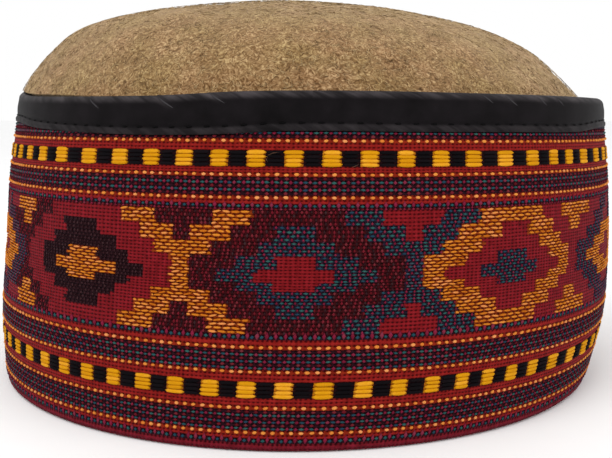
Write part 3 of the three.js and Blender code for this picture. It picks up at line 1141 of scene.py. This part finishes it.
# Two pale fibres that lie across black checks: the dots and heights in millimetres that they pass
STRAYS = (
    ((-2.72, 72.5), (-2.85, 73.4), (-2.7, 74.3), (-2.2, 74.9), (-1.5, 75)),
    ((6, 71.5), (6.25, 71.7), (6.5, 71.9), (6.7, 72.2), (6.85, 72.6)),
)
STRAY_RADIUS = 0.09 * MM
STRAY_LIFT = 0.55 * MM
DOTS_PER_MM = 0.3  # for the fibres' width


def make_strays(material):
    table = np.array(STRAYS)
    last = table.shape[1] - 1
    points = []
    for s in range(last + 1):
        dot, height = table[:, s, 0], table[:, s, 1] * MM
        for turn in ring_turns(FLOAT_SIDES, 0 < s < last):
            across = STRAY_RADIUS * math.cos(turn)
            out = STRAY_LIFT + STRAY_RADIUS * math.sin(turn)
            points.append(weave_point(dot + DOTS_PER_MM * across / MM, height + across, out))
    piece = add_spindles("stray_fibres", points, last - 1, FLOAT_SIDES)
    finish_piece(piece, material, "woven_cloth")


# Tape

TAPE_COLUMNS = 840
STITCH_LENGTH = 4.8 * MM
STITCH_HEIGHT = 1.9 * MM  # above the tape's lower edge
STITCH_HALF = 0.2  # half of a stitch's length, as a share of the way to the next one
STITCH_RADIUS = 0.19 * MM
STITCH_SINK = 0.22 * MM  # how far a stitch's tips lie below the tape's face
STITCH_RINGS = ((-0.7, 0.8), (0, 1), (0.7, 0.8))
CREASE_SLOPE = 1.75  # how far a crease runs to the right for each step down
CREASE_HALF_WIDTH = 0.2 * MM
CREASE_RISE = 0.06 * MM
CREASE_START = 0.5 * MM  # below the rim

# Bias creases: degrees of their upper end, and their height and reach down the tape in millimetres
CREASES = {
    "angle": (-38.5, -24.5, -15.8, 26.2, 30.6, 38, 43),
    "height": (0.16, 0.18, 0.16, 0.14, 0.14, 0.1, 0.1),
    "reach": (4, 4, 3, 2.6, 3.4, 3, 3),
}
FAR_CREASES = np.arange(66, 294, 9)  # degrees, round the sides and back
OUTER_ROWS = 26
FOLD_ROWS = 14
INNER_ROWS = 7
FOLD_ENDS = (12, 168)  # degrees of the fold's first and last row

# The stitched line, the lip below it and the pad above: height over the tape's lower edge, half width, rise
GROOVE = (STITCH_HEIGHT, 0.45 * MM, -0.2 * MM)
LIP = (0.8 * MM, 0.75 * MM, 0.24 * MM)
PAD = (4.6 * MM, 1.6 * MM, 0.2 * MM)
GROOVE_AT_STITCH = -0.16 * MM  # what the groove and the lip gain at each stitch
LIP_AT_STITCH = 0.05 * MM


def bell(value, middle, half_width):
    return np.exp(-(((value - middle) / half_width) ** 2))


def tape_loop(angle):
    """The tape's section: up its outer leg, over the fold, down the inner leg and back."""
    top = rim_top(angle)
    spring = top - FOLD_RADIUS
    low = tape_floor(angle)
    inner_low = top - TAPE_INNER_HEIGHT

    def at(z, depth):
        return band_point(angle, z, depth - TAPE_PROUD)

    points = [at(low + (spring - low) * share, 0.0) for share in np.linspace(0, 1, OUTER_ROWS)]
    for turn in np.radians(np.linspace(*FOLD_ENDS, FOLD_ROWS)):
        points.append(at(spring + FOLD_RADIUS * np.sin(turn), FOLD_RADIUS * (1 - np.cos(turn))))
    for share in np.linspace(0, 1, INNER_ROWS):
        points.append(at(spring + (inner_low - spring) * share, TAPE_THICKNESS))
    points.append(at(inner_low, TAPE_THICKNESS - TAPE_WALL))
    points.append(at(spring, TAPE_THICKNESS - TAPE_WALL))
    points += [at(top - TAPE_WALL, depth) for depth in (FOLD_RADIUS + GAP, FOLD_RADIUS - GAP)]
    points.append(at(spring, TAPE_WALL))
    points.append(at(low, TAPE_WALL))
    return np.stack(points, axis=1)


def tape_relief(angle, places):
    """How far the tape's outer side stands out, and how much painted sheen it gets."""
    above = places[..., 2] - tape_floor(angle)[:, None]
    below_top = rim_top(angle)[:, None] - places[..., 2]
    stitch = 0.5 + 0.5 * np.cos(2 * np.pi * (angle * BASE_RADIUS)[:, None] / STITCH_LENGTH)
    relief = (GROOVE[2] + GROOVE_AT_STITCH * stitch ** 4) * bell(above, *GROOVE[:2])
    relief = relief + (LIP[2] + LIP_AT_STITCH * stitch) * bell(above, *LIP[:2])
    relief = relief + PAD[2] * bell(above, *PAD[:2])
    # painted highlight on the strip below the stitches
    painted_sheen = 0.16 * (1 - smoothstep(above, STITCH_HEIGHT - 0.5 * MM, STITCH_HEIGHT - 0.1 * MM))
    # painted reflection along the top of the fold
    painted_sheen = painted_sheen + 0.55 * (1 - smoothstep(below_top, 0.2 * MM, 2.2 * MM))
    degrees_here = (np.degrees(angle) + 180) % 360 - 180
    for place, height, reach in zip(*all_creases()):
        start = np.radians((degrees_here - place + 180) % 360 - 180)[:, None] * BASE_RADIUS
        aside = start - CREASE_SLOPE * below_top
        fade = height * (1 - smoothstep(below_top, 0.4 * reach * MM, reach * MM))
        ridge = bell(aside, 0, 0.35 * MM)
        relief = relief + (ridge - 0.7 * bell(aside, -1.1 * MM, 0.8 * MM)) * fade * MM
        # painted highlight along each crease and on a broad patch beside it
        painted_sheen = painted_sheen + (0.8 * ridge + 0.9 * bell(aside, -0.9 * MM, 1.1 * MM)) * fade
    return relief, np.clip(painted_sheen, 0, 1)


def all_creases():
    """The creases that show at the front, and others of their kind over the rest of the cap."""
    random = np.random.default_rng(TAPE_SEED)
    count = len(FAR_CREASES)
    spots = FAR_CREASES + random.uniform(-3.5, 3.5, count)
    angles = np.concatenate([CREASES["angle"], (spots + 180) % 360 - 180])
    heights = np.concatenate([CREASES["height"], random.uniform(0.04, 0.18, count)])
    reaches = np.concatenate([CREASES["reach"], random.uniform(2.4, 5, count)])
    return angles, heights, reaches


def make_tape(satin):
    angle = 2 * np.pi * np.arange(TAPE_COLUMNS) / TAPE_COLUMNS
    loop = tape_loop(angle)
    piece = add_mesh("tape", loop, ring_faces(TAPE_COLUMNS, loop.shape[1]))
    relief, painted_sheen = tape_relief(angle, loop)
    fold_end = OUTER_ROWS + FOLD_ROWS
    for values in (relief, painted_sheen):
        values[:, fold_end:] = 0
        values[:, OUTER_ROWS:fold_end] *= np.linspace(1, 0, FOLD_ROWS)[None, :]
    push_out(piece, relief.ravel())
    # painted sheen, which the satin material reads
    set_values(piece, "painted_sheen", painted_sheen)
    step = 2 * np.pi * BASE_RADIUS / TAPE_COLUMNS / MM
    set_weave_places(piece, np.arange(TAPE_COLUMNS + 1) * step, run_along(loop, TAPE_WALL) / MM)
    finish_piece(piece, satin, "satin_tape", "binding")


def make_creases(crease_highlight):
    """The sharp edges of the tape's creases, coloured pale as a painted highlight."""
    places, heights, reaches = all_creases()
    stations = np.linspace(0, 1, 9)
    points = []
    for s in stations:
        swell = 1.3 * math.sin(math.pi * s) * (1 - 0.5 * s) if 0 < s < 1 else 0
        below_top = CREASE_START + (reaches * MM - CREASE_START) * s
        for turn in ring_turns(FLOAT_SIDES, swell):
            across = CREASE_HALF_WIDTH * swell * math.cos(turn)
            angle = np.radians(places) + (CREASE_SLOPE * below_top + across) / BASE_RADIUS
            out = CREASE_RISE * swell * math.sin(turn) + heights * MM * (1 - s)
            points.append(tape_face(angle, rim_top(angle) - below_top + 0.5 * across, out))
    piece = add_spindles("tape_creases", points, len(stations) - 2, FLOAT_SIDES)
    finish_piece(piece, crease_highlight, "satin_tape")


def tape_face(angle, z, out):
    """Point over the tape's outer face, which goes round inwards above the spring of its fold."""
    spring = rim_top(angle) - FOLD_RADIUS
    turn = np.arcsin(np.clip((z - spring) / FOLD_RADIUS, 0, 1))
    inset = FOLD_RADIUS * (1 - np.cos(turn))
    return band_point(angle, z + out * np.sin(turn), inset - TAPE_PROUD - out * np.cos(turn))


def make_stitches(thread):
    """Running stitches along the tape's lower edge."""
    count = round(2 * math.pi * BASE_RADIUS / STITCH_LENGTH)
    middle = 2 * np.pi * (np.arange(count) + 0.5) / count
    half = STITCH_HALF * 2 * np.pi / count
    points = []
    for s, swell in ((-1, 0), *STITCH_RINGS, (1, 0)):
        angle = middle + s * half
        z = tape_floor(angle) + STITCH_HEIGHT
        for turn in ring_turns(FLOAT_SIDES, swell):
            across = STITCH_RADIUS * swell * math.cos(turn)
            out = TAPE_PROUD - STITCH_SINK + STITCH_RADIUS * (0.9 * swell + swell * math.sin(turn))
            points.append(band_point(angle, z + across, -out))
    piece = add_spindles("tape_stitches", points, len(STITCH_RINGS), FLOAT_SIDES)
    finish_piece(piece, thread, "satin_tape")


# Floor and light

FLOOR_HALF = 4.0
FLOOR_DROP = 0.02 * MM  # so that the hem and the floor don't share a plane
CAP_MIDDLE = Vector((0, 0, 60 * MM))


def add_floor(paint):
    corners = [(x * FLOOR_HALF, y * FLOOR_HALF, 0) for x, y in ((-1, -1), (1, -1), (1, 1), (-1, 1))]
    floor = add_mesh("floor", corners, [(0, 1, 2, 3)], False)
    floor.location.z = -FLOOR_DROP
    floor.data.materials.append(paint)


def add_light(name, place, size, power):
    """A round lamp that faces the cap: its place, its width across and its watts."""
    data = bpy.data.lights.new(name, "AREA")
    data.shape = "DISK"
    data.size = size
    data.energy = power
    light = bpy.data.objects.new(name, data)
    light.location = place
    light.rotation_euler = (CAP_MIDDLE - Vector(place)).to_track_quat("-Z", "Y").to_euler()
    bpy.context.scene.collection.objects.link(light)


def add_world():
    world = bpy.data.worlds.new("world")
    bpy.context.scene.world = world
    world.use_nodes = True
    background = world.node_tree.nodes["Background"]
    background.inputs["Color"].default_value = (1, 1, 1, 1)
    background.inputs["Strength"].default_value = 1.0
    bpy.context.scene.view_settings.view_transform = "Standard"


add_world()
add_floor(make_cloudy("floor", 0.9, 0.1, 30, 3, (0.93, 0.93, 0.93), (0.95, 0.95, 0.95)))
add_light("key", place=(-0.35, -0.6, 0.9), size=0.7, power=4)
add_light("fill", place=(0.8, -0.5, 0.5), size=0.6, power=1.5)

make_crown(make_felt())
make_felt_fibres(make_fibre("felt_fibre", srgb(88, 64, 36), srgb(206, 178, 134)))
make_ground(make_cloth())
make_weave()
make_strays(make_fibre("stray_fibre", srgb(92, 66, 52), srgb(120, 92, 74)))
make_tape(make_satin())
make_stitches(make_cloudy("tape_thread", 0.7, 0.05, 2500, 2, srgb(3, 3, 3), srgb(10, 9, 10)))
# painted highlight: the creases' edges are pale grey
make_creases(make_fibre("satin_crease_highlight", srgb(58, 56, 58), srgb(70, 66, 68)))
